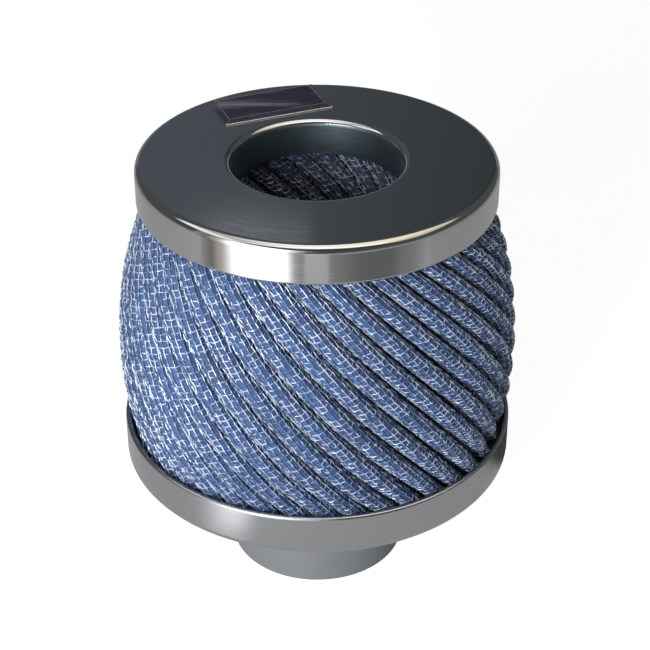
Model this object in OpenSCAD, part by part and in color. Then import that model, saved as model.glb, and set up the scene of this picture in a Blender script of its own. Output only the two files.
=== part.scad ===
// Cone air filter for an engine intake: a twisted pleated wall between a pressed cap and a base ring,
// with a second, inverted cone of pleats inside the cap's hole and a moulded neck below.
// Millimetres. The origin is the centre of the neck's mouth, and +Z points up to the cap.

/* [Top cap] */
// Outer diameter of the pressed cap
cap_d = 134; // [112:1:156]
// Height of the cap, from the foot of its skirt to its flat top
cap_skirt_h = 15; // [12:0.5:18]
// Thickness of the cap's sheet steel
cap_sheet = 0.8; // [0.6:0.1:1]
// Outside radius of the bend between the flat top and the skirt
cap_edge_r = 3; // [2:0.25:4]
// Outside radius of the hem that is rolled inward at the foot of the skirt
cap_hem_r = 1.2; // [1.1:0.1:1.6]
// Outside radius of the bend round the hole
hole_lip_r = 2.5; // [2:0.25:4]
// Depth of the collar that is turned down round the hole
collar_h = 14; // [11:0.5:17]

/* [Badge plate] */
// Length of the blank plate on the cap's flat top
badge_l = 44; // [34:1:52]
// Width of the plate
badge_w = 22.5; // [16:0.5:25]
// Thickness of the plate at the crest of its bevels
badge_t = 1.4; // [1:0.1:2]
// Width of the bevel on each side
badge_bevel = 2.2; // [1:0.1:3]
// Thickness of the plate's edge under the bevel
badge_edge_t = 0.4; // [0.3:0.05:0.6]
// Width of the crest between the bevel and the inlay
badge_crest = 0.5; // [0.3:0.05:0.8]
// Thickness of the coloured inlay
badge_inlay_t = 0.5; // [0.4:0.05:0.7]
// Direction of the plate from the axis, counter-clockwise from +X
badge_azimuth = 112; // [0:1:359]

/* [Pleated wall] */
// Number of pleats round the wall
pleat_count = 40; // [32:1:46]
// Height of wall that shows between the base ring and the cap
wall_h = 92.7; // [75:0.5:115]
// Diameter over the pleats where the wall bulges most
belly_d = 154.2; // [140:0.5:180]
// Height of the widest place above the base ring
belly_h = 29.7; // [20:0.5:40]
// How square the bulge is, where 2 is a parabola
belly_curve = 2.2; // [1.8:0.1:2.6]
// Depth of a pleat, from its outer fold to its inner fold
pleat_depth = 16; // [13:0.5:19]
// Thickness of the folded filter sheet
media_t = 1.8; // [1.4:0.1:2.2]
// Height of the round crown of each outer fold
crown_h = 3.6; // [2.5:0.1:4.5]
// Share of the pitch that is open groove between two crowns
groove_share = 0.22; // [0.12:0.01:0.3]
// Lean of the pleats from upright where the wall is widest
pleat_lean = 43.5; // [20:0.5:52]
// Direction of one crown at the foot of the wall
pleat_phase = -85.5; // [-90:0.5:-80]
// Gap between the pleats and the hem of the cap
skirt_gap = 0.5; // [0.3:0.1:2]
// Gap between the pleats and the lip of the base ring
ring_gap = 1; // [0.5:0.1:3]

/* [Inner cone] */
// Number of pleats round the inner cone
cone_pleat_count = 22; // [18:1:26]
// Height of the inner cone, from its cup to the potting in the cap
cone_h = 62; // [50:1:75]
// Angle between the cone's side and its axis
cone_angle = 11; // [6:0.5:14]
// Depth of a pleat of the cone
cone_pleat_depth = 7; // [5.5:0.25:8.5]
// Height of the round crown of each of the cone's pleats
cone_crown_h = 2.6; // [2:0.1:3]
// Lean of the cone's pleats from upright, against the wall's
cone_lean = 41; // [20:1:50]
// Direction of one of the cone's crowns at its small end
cone_phase = 90; // [82:0.5:98]
// Gap between the collar and the cone's pleats
collar_gap = 3; // [1:0.1:4]
// Gap between the wall's pleats and the cone's where both meet the cap
pack_gap = 5.6; // [3:0.1:7]

/* [Cone cup] */
// Thickness of the cup's sheet
cup_sheet = 0.8; // [0.6:0.1:1]
// Outside radius of the bend between the cup's floor and its side
cup_edge_r = 2.5; // [1.5:0.1:3]
// Length of pleat that stands inside the cup, above its potting
cup_lap = 4; // [3:0.25:6]
// Gap between the cup's side and the pleats
cup_gap = 0.3; // [0.2:0.05:1]

/* [Potting] */
// Depth of the potting compound in the cap
cap_pot_h = 7; // [5:0.25:9]
// Depth of the potting compound in the base
base_pot_h = 5.2; // [4:0.1:7]
// Depth of the potting compound in the cone's cup
cup_pot_h = 3; // [2:0.25:4]

/* [Base ring] */
// Outer diameter of the base ring
ring_d = 152; // [132:1:176]
// Height of the ring
ring_h = 17; // [15:0.5:22]
// Thickness of the ring's sheet steel
ring_sheet = 0.8; // [0.6:0.1:0.9]
// Outside radius of the bend at the foot of the ring
ring_edge_r = 3; // [2:0.25:4]
// Outside radius of the lip that is rolled inward at the top of the ring
ring_lip_r = 1.1; // [1:0.05:1.4]
// Width of the flange that is turned in under the moulding
ring_flange_w = 9; // [6:0.5:12]

/* [Base moulding] */
// Bore of the neck, which is the pipe's outer diameter
neck_bore_d = 63.5; // [50:0.5:78]
// Wall of the neck
neck_wall = 3; // [2.4:0.1:4]
// Length of the neck below the base ring
neck_l = 47.3; // [38:0.1:60]
// Rounding of the neck's outer edge at its mouth
mouth_round = 1.5; // [1:0.1:1.8]
// Lead-in chamfer of the bore at its mouth
mouth_lead = 0.5; // [0.4:0.05:0.6]
// Thickness of the moulded floor
floor_t = 5; // [4:0.25:7]
// Radius of the bell mouth where the bore meets the floor
bell_r = 3.5; // [2:0.25:4]
// Fillet between the neck and the underside of the floor
neck_fillet = 4; // [2:0.25:6]
// Width of the upstand that holds the potting in
upstand_w = 2.5; // [2:0.25:4]
// Gap between the upstand and the pleats' inner folds
upstand_gap = 1; // [0.5:0.1:2]
// Gap all round between pieces that are pushed one into another
seat_gap = 0.1; // [0.05:0.01:0.2]

/* [Hidden] */

// Facets round a turned piece, and round a bend of its section
$fn = 96;
bend_steps = 8;

// Heights of the seats, counted up from the neck's mouth
ring_foot_z = neck_l;
floor_z = ring_foot_z + ring_sheet;
floor_top_z = floor_z + floor_t;
wall_foot_z = floor_top_z + base_pot_h;
ring_top_z = ring_foot_z + ring_h;
belly_z = ring_top_z + belly_h;
skirt_foot_z = ring_top_z + wall_h;
top_z = skirt_foot_z + cap_skirt_h;
wall_head_z = top_z - cap_sheet - cap_pot_h;
cone_foot_z = wall_head_z - cone_h;

// Radii of the turned pieces
cap_r = cap_d / 2;
ring_r = ring_d / 2;
bore_r = neck_bore_d / 2;
neck_r = bore_r + neck_wall;
floor_r = ring_r - ring_sheet - seat_gap;

// Radius over the pleats at height z: widest at the belly, drawn in to the cap and to the ring, and
// straight where the ends stand inside them
belly_r = belly_d / 2;
wall_top_r = cap_r - 2 * cap_hem_r - skirt_gap;
wall_base_r = ring_r - 2 * ring_lip_r - ring_gap;
function above_share(z) = min(1, (z - belly_z) / (skirt_foot_z - belly_z));
function below_share(z) = min(1, (belly_z - z) / (belly_z - ring_top_z));
function wall_r(z) = z > belly_z
    ? belly_r - (belly_r - wall_top_r) * pow(above_share(z), belly_curve)
    : belly_r - (belly_r - wall_base_r) * pow(below_share(z), belly_curve);

// Both packs of pleats and the collar share the room under the cap, and the hole is what they leave
cone_mouth_r = wall_top_r - pleat_depth - pack_gap - cone_pleat_depth;
hole_r = cone_mouth_r - collar_gap - cap_sheet;
cone_foot_r = cone_mouth_r - cone_h * tan(cone_angle);
function cone_r(z) = cone_foot_r + (z - cone_foot_z) * tan(cone_angle);

// Levels at which each pack's folded section is placed, as height, crown radius and turn. The wall
// has one at the ring's top and one at the skirt's foot, where the bulge starts and ends.
wall_spans = 6;
cone_spans = 5;
wall_step = wall_h / wall_spans;
cone_step = cone_h / cone_spans;
wall_heights = concat(
    [wall_foot_z],
    [for (i = [0:wall_spans]) ring_top_z + i * wall_step],
    [wall_head_z]);
// The belly's turn for each millimetre of height, in degrees, grows as the wall is drawn in
belly_rate = tan(pleat_lean) / belly_r * 180 / PI;
function wall_rate(z) = belly_rate * pow(belly_r / wall_r(z), 2);
function wall_turn(i) = i == 0
    ? pleat_phase
    : let (low = wall_heights[i - 1], high = wall_heights[i])
        wall_turn(i - 1) - (high - low) * wall_rate((low + high) / 2);
function cone_turn(z) = cone_phase
    + tan(cone_lean) / tan(cone_angle) * ln(cone_r(z) / cone_foot_r) * 180 / PI;
wall_levels = [for (i = [0:len(wall_heights) - 1])
    let (z = wall_heights[i])
    [z, wall_r(z), wall_turn(i)]];
cone_levels = [for (i = [0:cone_spans])
    let (z = cone_foot_z + i * cone_step)
    [z, cone_r(z), cone_turn(z)]];

wall_count = round(pleat_count);
cone_count = round(cone_pleat_count);

// One pleat's section, as share of the pitch from its middle and depth below its crown.
// The front is the face with the round crown, and the back is the other face of the sheet.
half_crown = (1 - groove_share) / 2;
wall_crown_steps = 6;
cone_crown_steps = 4;
wall_sheet_share = media_t / cos(pleat_lean) * wall_count / (2 * PI * belly_r);
cone_sheet_share = media_t / cos(cone_lean) * cone_count / (2 * PI * (cone_mouth_r + cone_pleat_depth));
function crown(half, h, steps) = [for (i = [0:steps])
    let (a = 180 * i / steps)
    [-half * cos(a), h * (1 - sin(a))]];
wall_front = concat([[-0.5, pleat_depth - media_t]], crown(half_crown, crown_h, wall_crown_steps));
wall_back = [
    [-0.5 + wall_sheet_share / 2, pleat_depth],
    [-half_crown + wall_sheet_share, crown_h],
    [0, media_t],
    [half_crown - wall_sheet_share, crown_h],
    [0.5 - wall_sheet_share / 2, pleat_depth]];
cone_front = concat([[-0.5, cone_pleat_depth - media_t]], crown(half_crown, cone_crown_h, cone_crown_steps));
cone_back = [
    [-0.5 + cone_sheet_share / 2, cone_pleat_depth],
    [0, media_t],
    [0.5 - cone_sheet_share / 2, cone_pleat_depth]];

// Points of the front and of the back that are tied across the sheet's thickness at its flat ends
wall_ties = [[0, 0], [1, 1], [wall_crown_steps / 2 + 1, 2], [wall_crown_steps + 1, 3],
             [wall_crown_steps + 2, 4]];
cone_ties = [[0, 0], [1, 1], [cone_crown_steps / 2 + 1, 1], [cone_crown_steps + 1, 1],
             [cone_crown_steps + 2, 2]];

// One level's points for a face of the sheet. side is 1 with crowns outward and -1 with crowns inward.
function level_points(level, path, count, side) = [for (k = [0:count - 1]) for (p = path)
    let (r = level[1] - side * p[1], a = level[2] + (k + p[0]) * 360 / count)
    [r * cos(a), r * sin(a), level[0]]];

// Triangles between neighbouring levels, where width is the number of points in one pleat.
// The cut across each cell climbs from groove to crown, so both sides of a groove bow the same way.
function skin(count, width, first, stride, spans) = [for (i = [0:spans - 1]) for (j = [0:count - 1])
    let (
        a = first + i * stride + j,
        b = first + i * stride + (j + 1) % count,
        c = b + stride,
        d = a + stride
    )
    each j % width < (width - 1) / 2 ? [[a, d, c], [a, c, b]] : [[a, d, b], [d, c, b]]];

// The flat end of each pleat at one level, with a convex face between each two neighbouring ties
function end_faces(ties, count, nf, nb, first) = [for (k = [0:count - 1])
    let (back = first + count * nf, next = (k + 1) % count)
    each concat(
        [for (t = [1:len(ties) - 1])
            let (a = ties[t - 1], b = ties[t])
            concat(
                [for (j = [a[0]:b[0]]) first + (k * nf + j) % (count * nf)],
                [for (j = [b[1]:-1:a[1]]) back + k * nb + j])],
        [[first + next * nf, back + next * nb, back + k * nb + nb - 1]])];

function turned_over(faces) = [for (f = faces) [for (i = [len(f) - 1:-1:0]) f[i]]];

// A closed ring of pleats: both faces of the folded sheet and its two flat ends
module pleat_ring(levels, front, back, ties, count, side) {
    nf = len(front);
    nb = len(back);
    stride = count * (nf + nb);
    spans = len(levels) - 1;
    points = [for (level = levels) each concat(
        level_points(level, front, count, side),
        level_points(level, back, count, side))];
    outside = concat(
        skin(count * nf, nf, 0, stride, spans),
        turned_over(skin(count * nb, nb, count * nf, stride, spans)),
        end_faces(ties, count, nf, nb, 0),
        turned_over(end_faces(ties, count, nf, nb, spans * stride)));
    polyhedron(points, side > 0 ? outside : turned_over(outside), convexity = 10);
}

// Section of a quarter turn of bent sheet, r to its outside, from the +X side to the +Y side
module bend(r, t) {
    intersection() {
        difference() {
            circle(r);
            circle(r - t);
        }
        square(r + t);
    }
}

// Points along an arc of a turned section
function arc(x, y, r, from, to) = [for (i = [0:bend_steps])
    let (a = from + (to - from) * i / bend_steps)
    [x + r * cos(a), y + r * sin(a)]];

module cap_section() {
    translate([hole_r + hole_lip_r, top_z - cap_sheet])
        square([cap_r - cap_edge_r - hole_r - hole_lip_r, cap_sheet]);
    translate([cap_r - cap_edge_r, top_z - cap_edge_r]) bend(cap_edge_r, cap_sheet);
    translate([cap_r - cap_sheet, skirt_foot_z + cap_hem_r])
        square([cap_sheet, cap_skirt_h - cap_hem_r - cap_edge_r]);
    translate([cap_r - cap_hem_r, skirt_foot_z + cap_hem_r]) {
        rotate(180) bend(cap_hem_r, cap_sheet);
        rotate(270) bend(cap_hem_r, cap_sheet);
    }
    translate([hole_r + hole_lip_r, top_z - hole_lip_r]) rotate(90) bend(hole_lip_r, cap_sheet);
    translate([hole_r, top_z - collar_h]) square([cap_sheet, collar_h - hole_lip_r]);
}

module top_cap() {
    color("gainsboro") rotate_extrude() cap_section();
}

// The compound fills the cap's channel, with its corners cut to clear the bends
module top_potting() {
    inner = hole_r + cap_sheet + seat_gap;
    outer = cap_r - cap_sheet - seat_gap;
    head = top_z - cap_sheet;
    color("dimgray") rotate_extrude() polygon([
        [inner, wall_head_z],
        [outer, wall_head_z],
        [outer, head - cap_edge_r],
        [outer - cap_edge_r, head],
        [inner + hole_lip_r, head],
        [inner, head - hole_lip_r]]);
}

// Places a flat piece on the middle of the cap's flat top
module on_badge_place(z) {
    flat_middle = (hole_r + hole_lip_r + cap_r - cap_edge_r) / 2;
    rotate(badge_azimuth) translate([flat_middle, 0, top_z + z]) children();
}

module block(w, l, h) {
    translate([-w / 2, -l / 2, 0]) cube([w, l, h]);
}

module badge_plate() {
    crest_w = badge_w - 2 * badge_bevel;
    crest_l = badge_l - 2 * badge_bevel;
    crest_land = 0.01;
    color("silver") on_badge_place(0) difference() {
        hull() {
            block(badge_w, badge_l, badge_edge_t);
            translate([0, 0, badge_t - crest_land]) block(crest_w, crest_l, crest_land);
        }
        translate([0, 0, badge_t - badge_inlay_t])
            block(crest_w - 2 * badge_crest, crest_l - 2 * badge_crest, badge_inlay_t + 1);
    }
}

module badge_inlay() {
    side_cut = 2 * (badge_bevel + badge_crest + seat_gap);
    color("darkslateblue") on_badge_place(badge_t - badge_inlay_t)
        block(badge_w - side_cut, badge_l - side_cut, badge_inlay_t);
}

module pleated_wall() {
    color("cornflowerblue") pleat_ring(wall_levels, wall_front, wall_back, wall_ties, wall_count, 1);
}

module cone_pleats() {
    color("royalblue") pleat_ring(cone_levels, cone_front, cone_back, cone_ties, cone_count, -1);
}

// The cup clears the pleats at its rim, where the cone is widest inside it
cup_inner_r = cone_r(cone_foot_z + cup_lap) + cone_pleat_depth + cup_gap;
cup_floor_z = cone_foot_z - cup_pot_h;

module cone_potting() {
    color("dimgray") translate([0, 0, cup_floor_z])
        cylinder(h = cup_pot_h, r1 = cup_inner_r - cup_edge_r, r2 = cup_inner_r - seat_gap);
}

module cone_cup() {
    outer = cup_inner_r + cup_sheet;
    foot = cup_floor_z - cup_sheet;
    color("lightgray") rotate_extrude() {
        translate([0, foot]) square([outer - cup_edge_r, cup_sheet]);
        translate([outer - cup_edge_r, foot + cup_edge_r]) rotate(270) bend(cup_edge_r, cup_sheet);
        translate([cup_inner_r, foot + cup_edge_r])
            square([cup_sheet, cup_sheet + cup_pot_h + cup_lap - cup_edge_r]);
    }
}

module ring_section() {
    translate([ring_r - ring_flange_w, ring_foot_z]) square([ring_flange_w - ring_edge_r, ring_sheet]);
    translate([ring_r - ring_edge_r, ring_foot_z + ring_edge_r]) rotate(270) bend(ring_edge_r, ring_sheet);
    translate([ring_r - ring_sheet, ring_foot_z + ring_edge_r])
        square([ring_sheet, ring_h - ring_edge_r - ring_lip_r]);
    translate([ring_r - ring_lip_r, ring_top_z - ring_lip_r]) {
        bend(ring_lip_r, ring_sheet);
        rotate(90) bend(ring_lip_r, ring_sheet);
    }
}

module base_ring() {
    color("gainsboro") rotate_extrude() ring_section();
}

// The upstand stands inside the pleats' inner folds
upstand_r = wall_base_r - pleat_depth - upstand_gap;

module base_potting() {
    color("dimgray") rotate_extrude() translate([upstand_r + seat_gap, floor_top_z])
        square([floor_r - upstand_r - seat_gap, base_pot_h]);
}

// Floor, upstand and neck in one moulding, with the neck's section drawn from its mouth up
module base_moulding() {
    head = floor_top_z + base_pot_h;
    color("slategray") rotate_extrude() polygon(concat(
        [[bore_r, mouth_lead], [bore_r + mouth_lead, 0]],
        arc(neck_r - mouth_round, mouth_round, mouth_round, -90, 0),
        arc(neck_r + neck_fillet, floor_z - neck_fillet, neck_fillet, 180, 90),
        [[floor_r - ring_edge_r, floor_z], [floor_r, floor_z + ring_edge_r], [floor_r, floor_top_z]],
        [[upstand_r, floor_top_z], [upstand_r, head]],
        [[upstand_r - upstand_w, head], [upstand_r - upstand_w, floor_top_z]],
        arc(bore_r + bell_r, floor_top_z - bell_r, bell_r, 90, 180)
    ));
}

base_moulding();
base_ring();
base_potting();
pleated_wall();
top_potting();
top_cap();
badge_plate();
badge_inlay();
cone_pleats();
cone_potting();
cone_cup();
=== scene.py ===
"""The looks of a cone air filter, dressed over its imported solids.

Lengths in the classes are in millimetres and turn into metres where a mesh is made. The origin is the centre
of the neck's mouth, +Z points up to the cap, and -Y is the side that the camera sees.
"""

import enum
import logging
import math
from abc import ABC, abstractmethod
from dataclasses import dataclass, field
from typing import Any, Iterable, NamedTuple, Sequence

import bmesh
import bpy
import numpy as np
from bmesh.types import BMEdge, BMesh, BMFace, BMVert
from bpy.types import ID, Material, Node, NodeSocket, NodeTree, Object, World
from mathutils import Matrix, Quaternion, Vector


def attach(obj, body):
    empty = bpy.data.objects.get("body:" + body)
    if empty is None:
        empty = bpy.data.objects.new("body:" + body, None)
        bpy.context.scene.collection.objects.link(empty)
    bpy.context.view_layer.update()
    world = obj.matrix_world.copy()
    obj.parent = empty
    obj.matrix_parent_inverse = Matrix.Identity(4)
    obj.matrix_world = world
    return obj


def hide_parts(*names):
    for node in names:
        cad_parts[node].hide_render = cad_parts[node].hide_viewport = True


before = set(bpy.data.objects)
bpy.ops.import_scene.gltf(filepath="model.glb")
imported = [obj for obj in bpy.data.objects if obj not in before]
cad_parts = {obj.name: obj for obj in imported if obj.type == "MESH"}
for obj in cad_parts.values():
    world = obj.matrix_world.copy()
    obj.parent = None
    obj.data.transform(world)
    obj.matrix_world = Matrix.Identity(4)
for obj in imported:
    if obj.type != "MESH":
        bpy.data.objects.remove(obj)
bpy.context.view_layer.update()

LOG = logging.getLogger("cone_air_filter")
ROOT = "root"
MM = 0.001

# Distances in metres: turned points this near merge into one, and points this near lie on the same corner.
MERGED = 1e-7
TOUCHING = 1e-6

# A colour, three numbers for X, Y and Z, and what a node's input takes: a value or the output that feeds it.
Tone = tuple[float, float, float]
Place = tuple[float, float, float]
Feed = NodeSocket | float | Sequence[float]

WHITE: Tone = (1.0, 1.0, 1.0)


class Graph:
    """A node tree with short ways to add and join its nodes."""

    def __init__(self, tree: NodeTree) -> None:
        """Takes the tree that the nodes go into."""
        self.tree = tree

    @classmethod
    def blank(cls, owner: Material | World) -> "Graph":
        """Empties the node tree of a material or a world and returns its graph."""
        owner.use_nodes = True
        owner.node_tree.nodes.clear()
        return cls(owner.node_tree)

    def feed(self, node: Node, inputs: dict[str | int, Feed]) -> None:
        """Gives a node its inputs.

        Args:
            node: The node.
            inputs: Socket name or number, to a value or to the output socket that feeds it.
        """
        for key, value in inputs.items():
            if isinstance(value, NodeSocket):
                self.tree.links.new(value, node.inputs[key])
            else:
                node.inputs[key].default_value = value

    def add(self, kind: str, inputs: dict[str | int, Feed] | None = None, **settings: Any) -> Node:
        """Adds one node.

        Args:
            kind: The node's class name.
            inputs: Its inputs, as feed takes them.
            **settings: Properties of the node.

        Returns:
            The new node.
        """
        node = self.tree.nodes.new(kind)
        for key, value in settings.items():
            setattr(node, key, value)
        self.feed(node, inputs or {})
        return node

    def math(self, operation: str, *values: Feed, clamp: bool = False) -> NodeSocket:
        """Adds a Math node.

        Args:
            operation: Blender's name of the operation.
            *values: Numbers or sockets, in the order of the node's inputs.
            clamp: Whether the result is kept between 0 and 1.

        Returns:
            The result's socket.
        """
        return self.add("ShaderNodeMath", dict(enumerate(values)), operation=operation, use_clamp=clamp).outputs[0]

    def mix_colour(self, share: Feed, first: Feed, second: Feed) -> NodeSocket:
        """Mixes two colours.

        Args:
            share: How much of the second colour.
            first: The colour at share 0.
            second: The colour at share 1.

        Returns:
            The mixed colour's socket.
        """
        return self.add("ShaderNodeMix", {"Factor": share, 6: first, 7: second}, data_type="RGBA").outputs[2]

    def ramp(self, value: NodeSocket, low: Feed, high: Feed) -> NodeSocket:
        """Stretches a value from low..high to a smooth 0..1.

        Args:
            value: The socket that is stretched.
            low: The value that becomes 0.
            high: The value that becomes 1.

        Returns:
            The stretched value's socket.
        """
        return self.add("ShaderNodeMapRange", {"Value": value, "From Min": low, "From Max": high},
                        interpolation_type="SMOOTHSTEP").outputs[0]

    def bump(self, height: NodeSocket, strength: float, depth: float,
             under: NodeSocket | None = None) -> NodeSocket:
        """Makes relief of a height.

        Args:
            height: The height, from 0 to 1.
            strength: How strongly it shows.
            depth: Its depth in metres.
            under: The normal of the relief that it is added to.

        Returns:
            The normal's socket.
        """
        inputs = {"Strength": strength, "Distance": depth, "Height": height}
        return self.add("ShaderNodeBump", inputs | ({} if under is None else {"Normal": under})).outputs[0]


def rgba(colour: Sequence[float]) -> tuple[float, float, float, float]:
    """Adds full alpha to a colour."""
    return (colour[0], colour[1], colour[2], 1.0)


class Effect(enum.Enum):
    """The effects that several finishes share, each built once as a node group."""

    CLOUD = "cloud"
    TURNED_STREAKS = "turned_streaks"
    WEAVE = "weave"


@dataclass(frozen=True)
class Cloud:
    """How fine soft patches are, and between which levels of the noise they fade in."""

    scale: float
    low: float = 0.4
    high: float = 0.7


class EffectShop:
    """Builds each shared effect on first use and places it in the finishes."""

    def __init__(self) -> None:
        """Starts with no effect built."""
        self.built: dict[Effect, NodeTree] = {}

    def place(self, graph: Graph, effect: Effect, inputs: dict[str, Feed]) -> Node:
        """Places an effect in a material.

        Args:
            graph: The material's graph.
            effect: Which effect.
            inputs: Values or sockets by the group's input names.

        Returns:
            The group node.
        """
        if effect not in self.built:
            maker = {Effect.CLOUD: self._cloud, Effect.TURNED_STREAKS: self._turned_streaks,
                     Effect.WEAVE: self._weave}[effect]
            self.built[effect] = maker()
        return graph.add("ShaderNodeGroup", inputs, node_tree=self.built[effect])

    def cloud(self, graph: Graph, vector: NodeSocket, look: Cloud) -> Node:
        """Places soft patches in a material.

        Args:
            graph: The material's graph.
            vector: The coordinates that they follow.
            look: How they look.

        Returns:
            The group node.
        """
        return self.place(graph, Effect.CLOUD,
                          {"Vector": vector, "Scale": look.scale, "Low": look.low, "High": look.high})

    @staticmethod
    def _group(name: str, numbers: dict[str, float]) -> tuple[Graph, Node, Node]:
        """Makes a group that takes a vector and some numbers, and puts out a mask and a height.

        Args:
            name: The group's name.
            numbers: The names of the numbers, with their defaults.

        Returns:
            The group's graph, its input node and its output node.
        """
        tree = bpy.data.node_groups.new(name, "ShaderNodeTree")
        tree.interface.new_socket(name="Vector", in_out="INPUT", socket_type="NodeSocketVector")
        for label, default in numbers.items():
            socket = tree.interface.new_socket(name=label, in_out="INPUT", socket_type="NodeSocketFloat")
            socket.default_value = default
        for label in ("Mask", "Height"):
            tree.interface.new_socket(name=label, in_out="OUTPUT", socket_type="NodeSocketFloat")
        graph = Graph(tree)
        return graph, graph.add("NodeGroupInput"), graph.add("NodeGroupOutput")

    def _cloud(self) -> NodeTree:
        """Soft uneven patches, such as smudges, dust and uneven colour."""
        graph, into, out = self._group("cloud", {"Scale": 40.0, "Low": 0.4, "High": 0.7})
        noise = graph.add("ShaderNodeTexNoise", {"Vector": into.outputs["Vector"], "Scale": into.outputs["Scale"],
                                                 "Detail": 4.0, "Roughness": 0.55}).outputs["Fac"]
        graph.feed(out, {"Mask": graph.ramp(noise, into.outputs["Low"], into.outputs["High"]), "Height": noise})
        return graph.tree

    def _turned_streaks(self) -> NodeTree:
        """Fine rings round the axis, as polishing on a lathe leaves on turned and pressed metal."""
        graph, into, out = self._group("turned_streaks", {"Rings": 900.0, "Along": 14.0})
        parts = graph.add("ShaderNodeSeparateXYZ", {"Vector": into.outputs["Vector"]})
        flat = graph.add("ShaderNodeCombineXYZ", {"X": parts.outputs["X"], "Y": parts.outputs["Y"]}).outputs[0]
        radius = graph.add("ShaderNodeVectorMath", {0: flat}, operation="LENGTH").outputs["Value"]
        unit = graph.add("ShaderNodeVectorMath", {0: flat}, operation="NORMALIZE").outputs["Vector"]
        across = graph.math("MULTIPLY", graph.math("ADD", radius, parts.outputs["Z"]), into.outputs["Rings"])
        spread = graph.add("ShaderNodeVectorMath", {0: unit, "Scale": into.outputs["Along"]}, operation="SCALE")
        turned = graph.add("ShaderNodeSeparateXYZ", {"Vector": spread.outputs["Vector"]})
        place = graph.add("ShaderNodeCombineXYZ",
                          {"X": turned.outputs["X"], "Y": turned.outputs["Y"], "Z": across}).outputs[0]
        noise = graph.add("ShaderNodeTexNoise",
                          {"Vector": place, "Scale": 1.0, "Detail": 3.0, "Roughness": 0.6}).outputs["Fac"]
        graph.feed(out, {"Mask": graph.ramp(noise, low=0.35, high=0.7), "Height": noise})
        return graph.tree

    def _weave(self) -> NodeTree:
        """Threads that cross at right angles on a UV map in millimetres."""
        graph, into, out = self._group("weave", {"Threads": 1.0})
        parts = graph.add("ShaderNodeSeparateXYZ", {"Vector": into.outputs["Vector"]})
        waves = []
        for axis in ("X", "Y"):
            turn = graph.math("MULTIPLY", graph.math("MULTIPLY", parts.outputs[axis], into.outputs["Threads"]),
                              2 * math.pi)
            waves.append(graph.math("MULTIPLY_ADD", graph.math("SINE", turn), 0.5, 0.5))
        graph.feed(out, {"Mask": graph.math("MULTIPLY", *waves), "Height": graph.math("MAXIMUM", *waves)})
        return graph.tree


EFFECTS = EffectShop()


@dataclass(frozen=True)
class Finish(ABC):
    """One surface finish, made into a material once and then shared."""

    name: str

    def material(self) -> Material:
        """Makes the material, or returns the one already made.

        Returns:
            The material.
        """
        made = bpy.data.materials.get(self.name)
        if made is None:
            made = bpy.data.materials.new(self.name)
            graph = Graph.blank(made)
            shader = graph.add("ShaderNodeBsdfPrincipled")
            graph.add("ShaderNodeOutputMaterial", {"Surface": shader.outputs[0]})
            self.dress(graph, shader, graph.add("ShaderNodeTexCoord"))
        return made

    @abstractmethod
    def dress(self, graph: Graph, shader: Node, place: Node) -> None:
        """Adds the finish's own nodes.

        Args:
            graph: The material's graph.
            shader: Its Principled BSDF.
            place: Its Texture Coordinate node.
        """


@dataclass(frozen=True)
class PlatedSteel(Finish):
    """Chrome plate over polished steel, with faint turning rings and smudges."""

    tone: Tone = (0.45, 0.455, 0.46)
    dull_tone: Tone = (0.40, 0.405, 0.41)
    gloss: float = 0.08
    dull: float = 0.2
    rings: float = 1400.0
    ring_arc: float = 5.0
    ring_bump: float = 0.05
    ring_depth: float = 0.0001
    smudges: Cloud = Cloud(28.0, 0.5, 0.8)
    smudge_share: float = 0.6
    waves: Cloud = Cloud(14.0)
    wave_bump: float = 0.1
    wave_depth: float = 0.001

    def dress(self, graph: Graph, shader: Node, place: Node) -> None:
        """See Finish.dress."""
        here = place.outputs["Object"]
        streaks = EFFECTS.place(graph, Effect.TURNED_STREAKS,
                                {"Vector": here, "Rings": self.rings, "Along": self.ring_arc})
        smudge = EFFECTS.cloud(graph, here, self.smudges).outputs["Mask"]
        waves = EFFECTS.cloud(graph, here, self.waves)
        worn = graph.math("MULTIPLY", smudge, self.smudge_share)
        half = (self.dull - self.gloss) * 0.5
        smudged = graph.math("MULTIPLY_ADD", smudge, half, self.gloss)
        turned = graph.bump(streaks.outputs["Height"], self.ring_bump, self.ring_depth)
        graph.feed(shader, {
            "Base Color": graph.mix_colour(worn, rgba(self.tone), rgba(self.dull_tone)),
            "Roughness": graph.math("MULTIPLY_ADD", streaks.outputs["Mask"], half, smudged),
            "Normal": graph.bump(waves.outputs["Height"], self.wave_bump, self.wave_depth, turned),
            "Metallic": 1.0})


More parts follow.
